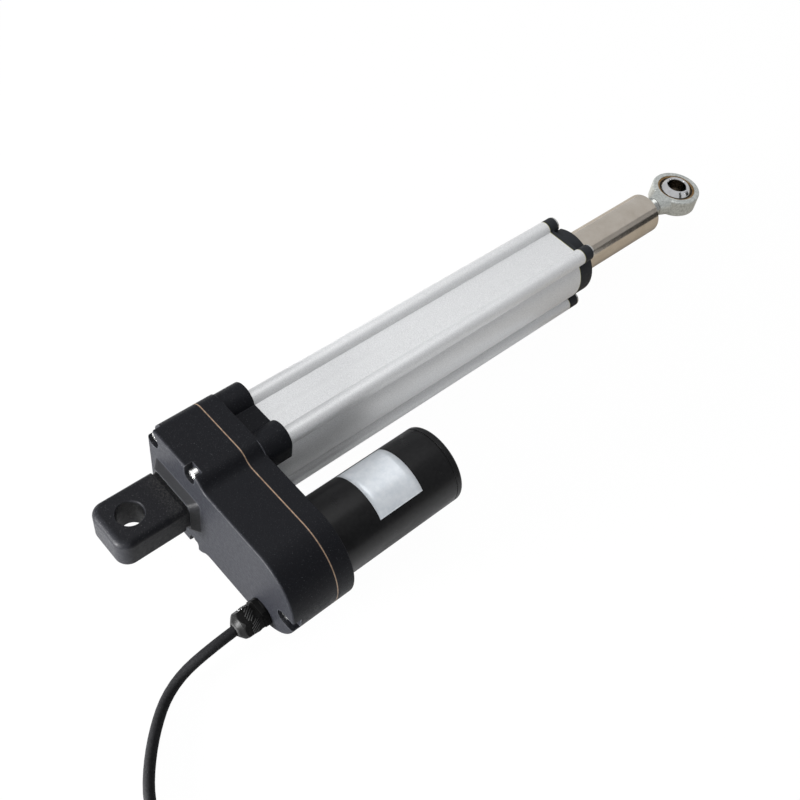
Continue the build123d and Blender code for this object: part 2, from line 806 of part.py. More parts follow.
def commutator():
    end_x = commutator_start_x + commutator_length
    return x_ring(commutator_r, motor_shaft_r, commutator_start_x, end_x, motor_y)


def motor_magnets():
    ring_face = Circle(motor_r - motor_wall) - Circle(magnet_inner_r)
    wedge_reach = 2 * motor_r
    opening = wedge_reach * tan(radians(90 - magnet_half_angle))
    wedge = make_face(Polyline((0, 0), (wedge_reach, opening), (wedge_reach, -opening), (0, 0)))
    both = ring_face - wedge - Rot(0, 0, 180) * wedge
    return [Pos(0, motor_y, 0) * x_prism(face, magnet_start_x, magnet_end_x) for face in both.faces()]


def brush_holder():
    plate = x_ring(motor_r - motor_wall, commutator_r + 1, brush_plate_x,
                   brush_plate_x + brush_plate_thickness, motor_y)
    guide_x = commutator_start_x + brush_width / 2 + 1
    for side in (1, -1):
        middle = side * (commutator_r + brush_length / 2 + 1)
        plate += Pos(guide_x, motor_y, middle) * Box(
            brush_width + 4 * brush_guide_wall, brush_width + 2 * brush_guide_wall, brush_length)
    return plate - joined(brushes())


def brushes():
    centre_x = commutator_start_x + brush_width / 2 + 1.5
    return [Pos(centre_x, motor_y, side * (commutator_r + bush_play + brush_length / 2))
            * Box(brush_width, brush_width, brush_length) for side in (1, -1)]


def gland_body():
    face = RegularPolygon(gland_body_flats / 2, 6, major_radius=False)
    collar = x_prism(Pos(gland_y, gland_z) * face, gland_body_x, gland_flange_x)
    collar += x_cylinder(gland_flange_r, gland_flange_x, case_rear_x, gland_y, gland_z)
    thread = x_cylinder(gland_thread_r, case_rear_x, gland_inner_x, gland_y, gland_z)
    neck = x_cylinder(gland_thread_r, gland_neck_x, gland_body_x, gland_y, gland_z)
    return collar + thread + neck - x_cylinder(gland_bore_r, gland_neck_x - 1, gland_inner_x + 1,
                                               gland_y, gland_z)


def gland_nut():
    face = RegularPolygon(gland_nut_flats / 2, 6, major_radius=False)
    start_x = gland_nut_end_x
    end_x = gland_body_x - slip
    nut = x_prism(Pos(gland_y, gland_z) * face, start_x, end_x)
    dome_r = gland_nut_flats / 2 + 1
    profile = make_face(Polyline((start_x, 0), (start_x, dome_r - 3.8), (start_x + 2.2, dome_r - 1.2),
                                 (start_x + 5, dome_r + 1), (end_x, dome_r + 1), (end_x, 0),
                                 (start_x, 0)))
    dome = Pos(0, gland_y, gland_z) * revolve(profile, Axis.X)
    nut = nut & dome
    nut -= x_cylinder(gland_thread_r, gland_neck_x - slip, end_x + 1, gland_y, gland_z)
    return nut - x_cylinder(gland_exit_r, start_x - 1, end_x, gland_y, gland_z)


def gland_seal():
    return x_ring(gland_bore_r, cable_r, gland_neck_x, gland_neck_x + gland_seal_length, gland_y, gland_z)


def bend_radii(points):
    """A radius for each corner of the route, as large as its runs allow."""
    radii = []
    for before, here, after in zip(points, points[1:], points[2:]):
        first = Vector(*here) - Vector(*before)
        second = Vector(*after) - Vector(*here)
        turn = radians(first.get_angle(second))
        radii.append(0.45 * min(first.length, second.length) / tan(turn / 2))
    return radii


def supply_cable():
    radii = bend_radii(cable_route)
    print("cable bend radii:", [round(r, 1) for r in radii])
    path = FilletPolyline(*cable_route, radius=radii)
    print("cable outside its coil:", round(path.length, 1), "mm")
    start = Plane(origin=cable_route[0], z_dir=(-1, 0, 0))
    cable = sweep(start * Circle(cable_r), path=path)
    print("volume against section times length:", round(cable.volume / (pi * cable_r ** 2 * path.length), 4))
    return cable + x_cylinder(cable_r, cable_route[0][0], cable_inner_end_x, gland_y, gland_z)


def cable_coil():
    """The wound length as one ring of its outer shape."""
    half = coil_layers * cable_r
    ring = Cylinder(coil_mid_r + half, 2 * half) - Cylinder(coil_mid_r - half, 4 * half)
    ring = fillet(ring.edges().filter_by(GeomType.CIRCLE), cable_r - 0.3)
    return Pos(coil_centre[0], coil_centre[1], floor_z + half) * ring


def motor_leads():
    """Two bare leads from the cable's inner end to the motor."""
    leads = []
    for side in (1, -1):
        shift = side * lead_spread
        path = FilletPolyline(
            (cable_inner_end_x, gland_y + shift, gland_z),
            (lead_bend_x, gland_y + shift, gland_z),
            (lead_hole_x, lead_y + shift, lead_z),
            (lead_end_x, lead_y + shift, lead_z),
            radius=lead_bend_r)
        start = Plane(origin=(cable_inner_end_x, gland_y + shift, gland_z), z_dir=(1, 0, 0))
        leads.append(sweep(start * Circle(lead_r), path=path))
    return leads


def limit_switch_board():
    middle = (board_start_x + board_end_x) / 2
    back_y = -(tube_bore_r + switch_slot_depth)
    return Pos(middle, back_y + board_thickness / 2, 0) * Box(
        board_end_x - board_start_x, board_thickness, board_width)


def limit_switches():
    back_y = -(tube_bore_r + switch_slot_depth) + board_thickness
    return [Pos(x, back_y + switch_height / 2, 0) * Box(switch_length, switch_height, switch_width)
            for x in switch_centres_x]


sub_parts = [
    rear_clevis,
    rear_housing,
    housing_gasket,
    front_housing,
    housing_screws,
    outer_tube,
    tube_screws,
    front_cap_gasket,
    front_end_cap,
    front_cap_screws,
    rod_guide_bush,
    rod_wiper_seal,
    bearing_outer_ring,
    bearing_balls,
    idler_shaft,
    motor_can,
    motor_end_cap,
    motor_flange,
    motor_screws,
    motor_bearings,
    motor_magnets,
    brush_holder,
    brushes,
    gland_body,
    gland_nut,
    gland_seal,
    motor_leads,
    limit_switch_board,
    limit_switches,
    supply_cable,
    cable_coil,
    drive_nut,
    nut_carrier,
    retaining_pins,
    piston_rod,
    rod_end_plug,
    rod_end_body,
    rod_end_race,
    rod_end_ball,
    lead_screw,
    spindle_gear,
    bearing_inner_ring,
    spindle_lock_nut,
    screw_tip_guide,
    idler_gear,
    idler_pinion,
    idler_bush,
    motor_shaft,
    armature_core,
    armature_windings,
    commutator,
    motor_pinion,
]

for make in sub_parts:
    shape = make()
    if isinstance(shape, list):
        shape = Compound(children=shape)
    shape.label = make.__name__
    export_step(shape, f"parts/{make.__name__}.step")
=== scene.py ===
from math import atan2, cos, hypot, pi, radians, sin

import bmesh
import bpy
from mathutils import Matrix, Vector


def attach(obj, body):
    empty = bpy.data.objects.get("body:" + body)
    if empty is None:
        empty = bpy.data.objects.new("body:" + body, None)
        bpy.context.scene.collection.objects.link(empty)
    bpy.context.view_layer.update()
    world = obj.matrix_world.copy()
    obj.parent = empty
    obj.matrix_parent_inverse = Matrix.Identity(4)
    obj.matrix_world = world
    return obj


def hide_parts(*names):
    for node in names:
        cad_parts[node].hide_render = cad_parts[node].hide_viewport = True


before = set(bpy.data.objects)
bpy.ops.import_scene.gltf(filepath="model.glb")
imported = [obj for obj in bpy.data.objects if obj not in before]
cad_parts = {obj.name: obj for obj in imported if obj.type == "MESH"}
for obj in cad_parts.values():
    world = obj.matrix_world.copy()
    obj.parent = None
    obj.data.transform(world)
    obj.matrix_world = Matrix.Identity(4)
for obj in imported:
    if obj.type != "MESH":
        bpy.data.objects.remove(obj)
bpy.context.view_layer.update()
MM = 0.001

# Camera: it looks down on the actuator from behind the clevis and from the motor's side, a
# little rolled, as the photograph does.
CAMERA_PLACE = (-0.13764, -0.29068, 0.50426)
CAMERA_TURN = (38.894, -6.408, -41.946)
CAMERA_LENS = 47.09


def add_object(name, data):
    """Puts a new object into the scene; it stays at the origin unless it is a camera or a lamp."""
    thing = bpy.data.objects.new(name, data)
    bpy.context.scene.collection.objects.link(thing)
    return thing


camera = add_object("camera", bpy.data.cameras.new("camera"))
camera.location = CAMERA_PLACE
camera.rotation_euler = [radians(turn) for turn in CAMERA_TURN]
camera.data.sensor_width = 36
camera.data.lens = CAMERA_LENS
camera.data.clip_start = 0.01
bpy.context.scene.camera = camera

# Supply cable: a round black jacket over two leads. It leaves the gland straight, sinks to the
# surface under its own weight, runs out of view and is wound up there in nearly four turns.
CABLE_D = 6.2 * MM
FLOOR_Z = -37.8 * MM
CABLE_Z = FLOOR_Z + CABLE_D / 2
GLAND_Y = -77.5 * MM
GLAND_Z = -21.5 * MM
COIL_CENTRE = Vector((-0.112, -0.168, 0))
COIL_MID_R = 35 * MM
COIL_START = radians(6)
COIL_TURNS = 3.7
POINTS_PER_TURN = 16
# The turns after which the cable crosses to the inside, to the upper layer and to the outside,
# and how much of a turn a crossing takes.
TO_INNER, TO_UPPER, TO_OUTER = 0.85, 1.85, 2.85
CROSSING = 0.3
cable_route = [
    (0.033, GLAND_Y, GLAND_Z),
    (0.002, GLAND_Y, GLAND_Z),
    (-0.029, -0.0763, CABLE_Z),
    (-0.054, -0.0958, CABLE_Z),
    (-0.074, -0.1225, CABLE_Z),
    (-0.076, -0.146, CABLE_Z),
    (-0.0741, -0.164, CABLE_Z),
]


def crossed(turn, start):
    """How far a turn of the coil has gone over to its next place, from 0 to 1."""
    return min(max((turn - start) / CROSSING, 0), 1)


coil_points = []
steps = int(COIL_TURNS * POINTS_PER_TURN)
for i in range(1, steps + 1):
    turn = i / POINTS_PER_TURN
    angle = COIL_START - 2 * pi * turn
    inner = crossed(turn, TO_INNER) - crossed(turn, TO_OUTER)
    radius = COIL_MID_R + CABLE_D / 2 - CABLE_D * inner
    coil_points.append((COIL_CENTRE.x + radius * cos(angle),
                        COIL_CENTRE.y + radius * sin(angle),
                        CABLE_Z + CABLE_D * crossed(turn, TO_UPPER)))


def round_line(name, points, radius, along=12, around=4, closed=False):
    """A smooth round line whose course follows the points."""
    line = bpy.data.curves.new(name, "CURVE")
    line.dimensions = "3D"
    line.bevel_depth = radius
    line.bevel_resolution = around
    line.use_fill_caps = True
    run = line.splines.new("NURBS")
    run.points.add(len(points) - 1)
    for point, place in zip(run.points, points):
        point.co = (*place, 1)
    run.order_u = 3
    run.use_endpoint_u = not closed
    run.use_cyclic_u = closed
    run.resolution_u = along
    return add_object(name, line)


def new_material(name):
    """A material with its Principled shader and its object coordinates."""
    material = bpy.data.materials.new(name)
    material.use_nodes = True
    tree = material.node_tree
    coordinates = tree.nodes.new("ShaderNodeTexCoord")
    return material, tree, tree.nodes["Principled BSDF"], coordinates.outputs["Object"]


def noise(tree, place, scale, detail=2.0, roughness=0.5):
    """A noise texture; scale is in cycles per metre."""
    node = tree.nodes.new("ShaderNodeTexNoise")
    node.inputs["Scale"].default_value = scale
    node.inputs["Detail"].default_value = detail
    node.inputs["Roughness"].default_value = roughness
    tree.links.new(place, node.inputs["Vector"])
    return node.outputs["Fac"]


def ramp(tree, value, low_colour, high_colour, low=0.3, high=0.7):
    """Two colours, blended as a value goes from low to high."""
    node = tree.nodes.new("ShaderNodeValToRGB")
    start, end = node.color_ramp.elements
    start.position, end.position = low, high
    start.color = (*low_colour, 1)
    end.color = (*high_colour, 1)
    tree.links.new(value, node.inputs["Fac"])
    return node.outputs["Color"]


def tint(tree, shader, value, low_colour, high_colour, low=0.3, high=0.7):
    """Gives a shader a colour that a value blends between two."""
    colour = ramp(tree, value, low_colour, high_colour, low, high)
    tree.links.new(colour, shader.inputs["Base Color"])


def roughen(tree, shader, value, smooth, rough):
    """Gives a shader a roughness that a value blends between two."""
    blend = ramp(tree, value, (smooth,) * 3, (rough,) * 3)
    tree.links.new(blend, shader.inputs["Roughness"])


def bump(tree, shader, height, strength, distance):
    """Fine relief on a shader; distance in metres."""
    node = tree.nodes.new("ShaderNodeBump")
    node.inputs["Strength"].default_value = strength
    node.inputs["Distance"].default_value = distance
    tree.links.new(height, node.inputs["Height"])
    tree.links.new(node.outputs["Normal"], shader.inputs["Normal"])


cable = round_line("cable", cable_route + coil_points, CABLE_D / 2, along=6, around=6)
jacket, tree, shader, place = new_material("cable_jacket_black")
grain = noise(tree, place, 900, 4)
tint(tree, shader, grain, (0.0045, 0.0045, 0.005), (0.010, 0.010, 0.011), low=0.35)
roughen(tree, shader, noise(tree, place, 260), 0.60, 0.74)
bump(tree, shader, grain, 0.15, 0.1 * MM)
shader.inputs["Specular IOR Level"].default_value = 0.1
cable.data.materials.append(jacket)
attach(cable, "housing")
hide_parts("supply_cable", "cable_coil")

# Coil tie: a thin black tie of coated wire, pulled square round the coil's turns and closed
# under them.
TIE_ANGLE = radians(40)
TIE_WIRE_R = 0.6 * MM
TIE_HALF = CABLE_D + TIE_WIRE_R
TIE_POINTS = 12
TIE_SQUARE = 1.35


def plain_finish(name, low_colour, high_colour, metallic, roughness, scale=600, relief=0.08,
                 shine=0.5):
    """A finish whose colour and roughness vary a little over the surface."""
    material, tree, shader, place = new_material(name)
    cloud = noise(tree, place, scale, 4, 0.6)
    tint(tree, shader, cloud, low_colour, high_colour)
    roughen(tree, shader, noise(tree, place, scale * 1.7, 3), roughness * 0.85, roughness * 1.15)
    bump(tree, shader, cloud, relief, 0.1 * MM)
    shader.inputs["Metallic"].default_value = metallic
    shader.inputs["Specular IOR Level"].default_value = shine
    return material


out_way = Vector((cos(TIE_ANGLE), sin(TIE_ANGLE), 0))
tie_middle = COIL_CENTRE + COIL_MID_R * out_way
tie_middle.z = FLOOR_Z + CABLE_D + TIE_WIRE_R / 2
tie_points = []
for i in range(TIE_POINTS):
    angle = 2 * pi * i / TIE_POINTS
    across = max(-1, min(1, TIE_SQUARE * cos(angle))) * TIE_HALF
    upward = max(-1, min(1, TIE_SQUARE * sin(angle))) * TIE_HALF
    point = tie_middle + across * out_way + Vector((0, 0, upward))
    point.z = max(point.z, FLOOR_Z + TIE_WIRE_R)
    tie_points.append(point)
tie = round_line("coil_tie", tie_points, TIE_WIRE_R, closed=True)
tie.data.materials.append(plain_finish("tie_black", (0.012,) * 3, (0.03,) * 3, 0.0, 0.45))
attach(tie, "housing")

# Bare leads: the cable's far end is cut and stripped, so a red and a black lead stick out of
# its jacket, ready to be wired.
LEAD_R = 0.9 * MM
LEAD_LENGTH = 11 * MM
LEAD_OFFSET = 1.3 * MM
LEAD_SPREAD = 1.2 * MM
LEAD_SUNK = 2 * MM
end_angle = COIL_START - 2 * pi * steps / POINTS_PER_TURN
end_place = Vector(coil_points[-1])
end_way = Vector((sin(end_angle), -cos(end_angle), 0))
end_side = Vector((cos(end_angle), sin(end_angle), 0))
lead_colours = [
    ("lead_red", 1, (0.30, 0.012, 0.01), (0.42, 0.03, 0.02)),
    ("lead_black", -1, (0.012,) * 3, (0.03,) * 3),
]
for name, side, low_colour, high_colour in lead_colours:
    start = end_place + side * LEAD_OFFSET * end_side - LEAD_SUNK * end_way
    end = start + LEAD_LENGTH * end_way + side * LEAD_SPREAD * end_side
    lead = round_line(name, [start, start + 0.5 * LEAD_LENGTH * end_way, end], LEAD_R)
    lead.data.materials.append(plain_finish(name + "_jacket", low_colour, high_colour, 0.0, 0.4))
    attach(lead, "housing")

# Studio: a white table in a pale room, lit by a large soft lamp above and by a small one that
# stands low behind the clevis. The camera sees the table and the room as plain white.
TABLE_HALF = 4
TABLE_WHITE = (0.9, 0.9, 0.9, 1)
TABLE_GLOW = 0.98
ROOM_GREY = (0.55, 0.555, 0.565, 1)
SEEN_WHITE = (1, 1, 1, 1)


def calculate(tree, kind, operation, *values):
    """The outputs of a math node that works on sockets, numbers or vectors."""
    node = tree.nodes.new(kind)
    node.operation = operation
    for socket, value in zip(node.inputs, values):
        if isinstance(value, bpy.types.NodeSocket):
            tree.links.new(value, socket)
        else:
            socket.default_value = value
    return node.outputs


def mix_shaders(tree, share, first, second):
    """Blends two shaders and sends the result to the tree's output node."""
    node = tree.nodes.new("ShaderNodeMixShader")
    tree.links.new(share, node.inputs["Fac"])
    tree.links.new(first, node.inputs[1])
    tree.links.new(second, node.inputs[2])
    output = next(item for item in tree.nodes if item.name.endswith("Output"))
    tree.links.new(node.outputs["Shader"], output.inputs["Surface"])


table = add_object("table", bpy.data.meshes.new("table"))
mesh = bmesh.new()
bmesh.ops.create_grid(mesh, x_segments=1, y_segments=1, size=TABLE_HALF)
bmesh.ops.translate(mesh, verts=mesh.verts, vec=(0, 0, FLOOR_Z))
mesh.to_mesh(table.data)
mesh.free()
white, tree, shader, place = new_material("table_white")
shader.inputs["Base Color"].default_value = TABLE_WHITE
shader.inputs["Roughness"].default_value = 0.9
rays = tree.nodes.new("ShaderNodeLightPath").outputs
glow = tree.nodes.new("ShaderNodeEmission").outputs["Emission"]
share = calculate(tree, "ShaderNodeMath", "MULTIPLY", rays["Is Camera Ray"], TABLE_GLOW)
mix_shaders(tree, share["Value"], shader.outputs["BSDF"], glow)
table.data.materials.append(white)

room = bpy.data.worlds.new("studio")
room.use_nodes = True
bpy.context.scene.world = room
tree = room.node_tree
lit = tree.nodes["Background"]
lit.inputs["Color"].default_value = ROOM_GREY
seen = tree.nodes.new("ShaderNodeBackground")
seen.inputs["Color"].default_value = SEEN_WHITE
rays = tree.nodes.new("ShaderNodeLightPath").outputs
share = calculate(tree, "ShaderNodeMath", "MAXIMUM", rays["Is Camera Ray"],
                  rays["Is Transmission Ray"])
mix_shaders(tree, share["Value"], lit.outputs["Background"], seen.outputs["Background"])

lamps = [
    # name, place, target, size, watts
    ("lamp_above", (0.15, 0.3, 1.45), (0.2, 0, 0), 1.2, 10),
    ("lamp_left", (-0.95, 0.14, 0.1), (0.05, 0, 0), 0.26, 64),
]
for name, place, target, size, watts in lamps:
    lamp = add_object(name, bpy.data.lights.new(name, "AREA"))
    lamp.data.size = size
    lamp.data.energy = watts
    lamp.location = place
    lamp.rotation_euler = (Vector(place) - Vector(target)).to_track_quat("Z", "Y").to_euler()

# Cards: dark and grey cards stand at the motor's side and two brown ones lie on the floor. They
# are out of sight and give the rod and the ball the reflections of the photograph.
LYING, STANDING = 0, 90
CARD_Z = FLOOR_Z + 0.002
cards = [
    # name, width, height, tilt, middle, colour
    ("dark_card", 0.75, 0.38, STANDING, (1.425, -0.75, 0.15), (0.012, 0.012, 0.012)),
    ("grey_card", 0.90, 0.60, STANDING, (1.35, -0.78, 0.64), (0.26, 0.26, 0.265)),
    ("brown_card", 1.10, 0.80, LYING, (0.88, -0.38, CARD_Z), (0.43, 0.39, 0.335)),
    ("far_card", 0.90, 0.44, LYING, (0.84, 0.24, CARD_Z), (0.46, 0.43, 0.39)),
    ("ball_card", 0.24, 0.85, STANDING, (0.36, -0.76, 0.39), (0.012, 0.012, 0.012)),
]
for name, width, height, tilt, middle, colour in cards:
    card = add_object(name, bpy.data.meshes.new(name))
    mesh = bmesh.new()
    bmesh.ops.create_grid(mesh, x_segments=1, y_segments=1, size=0.5)
    bmesh.ops.scale(mesh, verts=mesh.verts, vec=(width, height, 1))
    bmesh.ops.rotate(mesh, verts=mesh.verts, cent=(0, 0, 0),
                     matrix=Matrix.Rotation(radians(tilt), 3, "X"))
    bmesh.ops.translate(mesh, verts=mesh.verts, vec=middle)
    mesh.to_mesh(card.data)
    mesh.free()
    lighter = tuple(1.2 * c for c in colour)
    card.data.materials.append(plain_finish(name + "_matt", colour, lighter, 0.0, 0.8))
    card.visible_camera = False
    card.visible_shadow = False
    card.visible_diffuse = False

# Gear case: two die castings in black powder coat with a fine orange-peel texture. The rear
# one carries the clevis and the gland, the front one the tube socket and the motor.
# Painted shade: the case's coat is coloured darker at x below this, on the flare round the clevis
# root.
FLARE_X = 30.6 * MM
# Painted highlight: the coat is coloured lighter within this reach of a rounded edge.
EDGE_HIGHLIGHT_REACH = 0.9 * MM
# The darker colour of the painted shade on the flare.
COLLAR_PAINTED_SHADE = (0.005, 0.0052, 0.006, 1)


def mix_colours(tree, share, first, second):
    """Blends two colours; share goes from 0, the first, to 1, the second."""
    node = tree.nodes.new("ShaderNodeMix")
    node.data_type = "RGBA"
    for name, value in (("Factor", share), ("A", first), ("B", second)):
        if isinstance(value, bpy.types.NodeSocket):
            tree.links.new(value, node.inputs[name])
        else:
            node.inputs[name].default_value = value
    return node.outputs["Result"]


def along_x(tree, place):
    """The x coordinate of a place."""
    split = tree.nodes.new("ShaderNodeSeparateXYZ")
    tree.links.new(place, split.inputs["Vector"])
    return split.outputs["X"]


def powder_coat(name, dark, light, roughness, edge_highlight=(0.07, 0.073, 0.08), shine=0.08,
                painted_shade_x=None):
    """Black powder coat: fine grain, lighter specks, painted edge highlights, painted shade below
    an x.
    """
    material, tree, shader, place = new_material(name)
    coat = ramp(tree, noise(tree, place, 1500, 3, 0.7), dark, light, 0.60, 0.74)
    # Painted shade: the colour is darker at x below the given limit.
    if painted_shade_x is not None:
        ahead = calculate(tree, "ShaderNodeMath", "GREATER_THAN", along_x(tree, place), painted_shade_x)
        coat = mix_colours(tree, ahead["Value"], COLLAR_PAINTED_SHADE, coat)
    # Painted highlight: the colour turns lighter along rounded edges.
    rounded = tree.nodes.new("ShaderNodeBevel")
    rounded.inputs["Radius"].default_value = EDGE_HIGHLIGHT_REACH
    surface = tree.nodes.new("ShaderNodeNewGeometry")
    likeness = calculate(tree, "ShaderNodeVectorMath", "DOT_PRODUCT",
                         rounded.outputs["Normal"], surface.outputs["Normal"])
    edge = ramp(tree, likeness["Value"], (0.4,) * 3, (0,) * 3, 0.86, 0.995)
    tree.links.new(mix_colours(tree, edge, coat, (*edge_highlight, 1)), shader.inputs["Base Color"])
    roughen(tree, shader, noise(tree, place, 420, 3), roughness - 0.06, roughness + 0.06)
    bump(tree, shader, noise(tree, place, 1100, 4, 0.6), 0.5, 0.25 * MM)
    shader.inputs["Specular IOR Level"].default_value = shine
    return material


def dress(material, *nodes):
    """Puts a finish on CAD nodes."""
    for node in nodes:
        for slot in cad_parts[node].material_slots:
            slot.material = material


# The flare round the clevis root gets painted shade, a darker colour.
case_coat = powder_coat("case_coat_black", (0.0068, 0.0072, 0.0092), (0.052, 0.054, 0.059), 0.5,
                        painted_shade_x=FLARE_X)
dress(case_coat, "rear_housing", "front_housing")

# Rear clevis: a steel tongue with a 16 mm eye, held behind the rear wall by its inner flange.
# It is coated black like the case and scuffed near its root.
SCUFF_START_X = 14 * MM
SCUFF_END_X = 23 * MM
SCUFFED = (0.06, 0.058, 0.055, 1)
# Its rounded edges get a painted highlight as well, in a darker grey.
clevis_coat = powder_coat("clevis_coat_black", (0.0078, 0.0081, 0.0098), (0.06, 0.06, 0.063),
                          0.46, edge_highlight=(0.03, 0.031, 0.034))
tree = clevis_coat.node_tree
colour = tree.nodes["Principled BSDF"].inputs["Base Color"]
place = tree.nodes.new("ShaderNodeTexCoord").outputs["Object"]
near_root = tree.nodes.new("ShaderNodeMapRange")
near_root.inputs["From Min"].default_value = SCUFF_START_X
near_root.inputs["From Max"].default_value = SCUFF_END_X
tree.links.new(along_x(tree, place), near_root.inputs["Value"])
patches = ramp(tree, noise(tree, place, 800, 6, 0.8), (0,) * 3, (0.8,) * 3, 0.46, 0.74)
rubbed = calculate(tree, "ShaderNodeMath", "MULTIPLY", near_root.outputs["Result"], patches)
scuffed = mix_colours(tree, rubbed["Value"], colour.links[0].from_socket, SCUFFED)
tree.links.new(scuffed, colour)
dress(clevis_coat, "rear_clevis")

# Gaskets: pressed fibre sheet, clamped between the case halves and under the front cap, and seen
# only as a thin line, tan round the case and yellow under the cap.
fibre, tree, shader, place = new_material("gasket_fibre_tan")
tint(tree, shader, noise(tree, place, 600, 4), (0.17, 0.10, 0.055), (0.36, 0.25, 0.16))
shader.inputs["Roughness"].default_value = 0.6
dress(fibre, "housing_gasket")
cap_fibre, tree, shader, place = new_material("gasket_fibre_yellow")
tint(tree, shader, noise(tree, place, 500, 3), (0.22, 0.21, 0.05), (0.40, 0.38, 0.12))
shader.inputs["Roughness"].default_value = 0.6
dress(cap_fibre, "front_cap_gasket")

# Case screws: five zinc-plated pan heads with a cross recess. They are turned down into their
# pockets from the rear and hold the two halves of the case together.
CASE_SEAT_X = 36.1 * MM
CASE_HEAD_R = 3.5 * MM
CASE_HEAD_HEIGHT = 4.2 * MM
CASE_SHANK = 35.8 * MM
SHANK_R = 2.0 * MM
case_places = [
    # y and z in millimetres, and the turn at which the recess came to rest in degrees
    (22.4, 29.2, 25),
    (22.4, -29.2, 56),
    (-12.6, 33.0, 87),
    (-12.6, -33.0, 118),
    (-95.0, -2.5, 149),
]


def pan_head(target, place, way, turn, radius, height, shank_r, shank_length):
    """Adds a pan-head screw to a mesh; its seat is at place and its head points along way."""
    # The recess is a cross of faces in the grid. These are shares of the head's radius.
    half_arm, arm, ring, taper = 0.12, 0.5, 0.8, 0.72
    rows = [-1, -ring, -arm, -0.3, -half_arm, half_arm, 0.3, arm, ring, 1]
    last = len(rows) - 1
    dome, depth, rounding = 0.22 * height, 0.5 * height, 0.2 * height
    piece = bmesh.new()
    bmesh.ops.create_grid(piece, x_segments=last, y_segments=last, size=1)
    for vert in piece.verts:
        i = round((vert.co.x + 1) * last / 2)
        j = round((vert.co.y + 1) * last / 2)
        if {i, j} & {0, 1, last - 1, last}:
            angle = atan2(j - last / 2, i - last / 2)
            reach = radius if {i, j} & {0, last} else ring * radius
            vert.co.x = reach * cos(angle)
            vert.co.y = reach * sin(angle)
        else:
            vert.co.x = radius * rows[i]
            vert.co.y = radius * rows[j]
        vert.co.z = height - dome * (hypot(vert.co.x, vert.co.y) / radius) ** 2
    rim = [edge for edge in piece.edges if edge.is_boundary]
    cross = []
    for face in piece.faces:
        middle = face.calc_center_median() / radius
        inner, outer = sorted((abs(middle.x), abs(middle.y)))
        if inner < half_arm and outer < arm:
            cross.append(face)
    pressed = bmesh.ops.extrude_face_region(piece, geom=cross)["geom"]
    floor = [item for item in pressed if isinstance(item, bmesh.types.BMVert)]
    bmesh.ops.scale(piece, verts=floor, vec=(taper, taper, 1))
    bmesh.ops.translate(piece, verts=floor, vec=(0, 0, -depth))
    lowered = bmesh.ops.extrude_edge_only(piece, edges=rim)["geom"]
    for item in lowered:
        if isinstance(item, bmesh.types.BMVert):
            item.co.z = 0
    seat = [edge for edge in piece.edges if edge.is_boundary]
    bmesh.ops.holes_fill(piece, edges=seat, sides=0)
    bmesh.ops.bevel(piece, geom=rim, offset=rounding, segments=3, profile=0.5,
                    affect="EDGES", material=-1)
    shank = bmesh.ops.create_cone(piece, cap_ends=True, segments=24, radius1=shank_r,
                                  radius2=shank_r, depth=shank_length)
    bmesh.ops.translate(piece, verts=shank["verts"], vec=(0, 0, -shank_length / 2))
    bmesh.ops.recalc_face_normals(piece, faces=piece.faces)
    bmesh.ops.rotate(piece, verts=piece.verts, cent=(0, 0, 0),
                     matrix=Matrix.Rotation(turn, 3, "Z"))
    bmesh.ops.rotate(piece, verts=piece.verts, cent=(0, 0, 0),
                     matrix=Vector(way).to_track_quat("Z", "Y").to_matrix())
    bmesh.ops.translate(piece, verts=piece.verts, vec=place)
    holder = bpy.data.meshes.new("holder")
    piece.to_mesh(holder)
    piece.free()
    target.from_mesh(holder)
    bpy.data.meshes.remove(holder)


def finish_piece(mesh, name, material, body):
    """Turns a mesh into a piece with smooth faces and crisp edges."""
    for edge in mesh.edges:
        edge.smooth = edge.calc_face_angle(0) < radians(38)
    for face in mesh.faces:
        face.smooth = True
    piece = add_object(name, bpy.data.meshes.new(name))
    mesh.to_mesh(piece.data)
    mesh.free()
    piece.data.materials.append(material)
    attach(piece, body)
    return piece


plated = plain_finish("zinc_plate_bright", (0.60, 0.60, 0.59), (0.80, 0.80, 0.79), 1.0, 0.26,
                      1200)
mesh = bmesh.new()
for y, z, turn in case_places:
    pan_head(mesh, (CASE_SEAT_X, y * MM, z * MM), (-1, 0, 0), radians(turn), CASE_HEAD_R,
             CASE_HEAD_HEIGHT, SHANK_R, CASE_SHANK)
case_screws = finish_piece(mesh, "case_screws", plated, "housing")
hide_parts("housing_screws")

# Outer tube: an aluminium extrusion, bead blasted and clear anodised, with a screw channel in
# each corner lobe. Screws from inside the case hold its rear end.
blasted, tree, shader, place = new_material("aluminium_blasted")
sparkle = noise(tree, place, 2600, 2, 0.7)
tint(tree, shader, sparkle, (0.57, 0.575, 0.58), (0.86, 0.865, 0.87), 0.35, 0.72)
roughen(tree, shader, sparkle, 0.46, 0.58)
bump(tree, shader, sparkle, 0.25, 0.1 * MM)
shader.inputs["Metallic"].default_value = 0.5
dress(blasted, "outer_tube")
dress(plated, "tube_screws")

# Front cap: a black moulding with a lobe over each screw channel. It holds the bronze guide bush
# and the rubber wiper that the rod slides through.
cap_coat = powder_coat("cap_black", (0.018, 0.020, 0.023), (0.04, 0.042, 0.046), 0.5, shine=0.15)
dress(cap_coat, "front_end_cap")
bronze = plain_finish("bronze_bushing", (0.30, 0.15, 0.05), (0.50, 0.32, 0.14), 0.9, 0.38, 500)
dress(bronze, "rod_guide_bush")
rubber, tree, shader, place = new_material("rubber_black")
tint(tree, shader, noise(tree, place, 800, 3), (0.010,) * 3, (0.022,) * 3)
shader.inputs["Roughness"].default_value = 0.62
shader.inputs["Specular IOR Level"].default_value = 0.12
dress(rubber, "rod_wiper_seal")

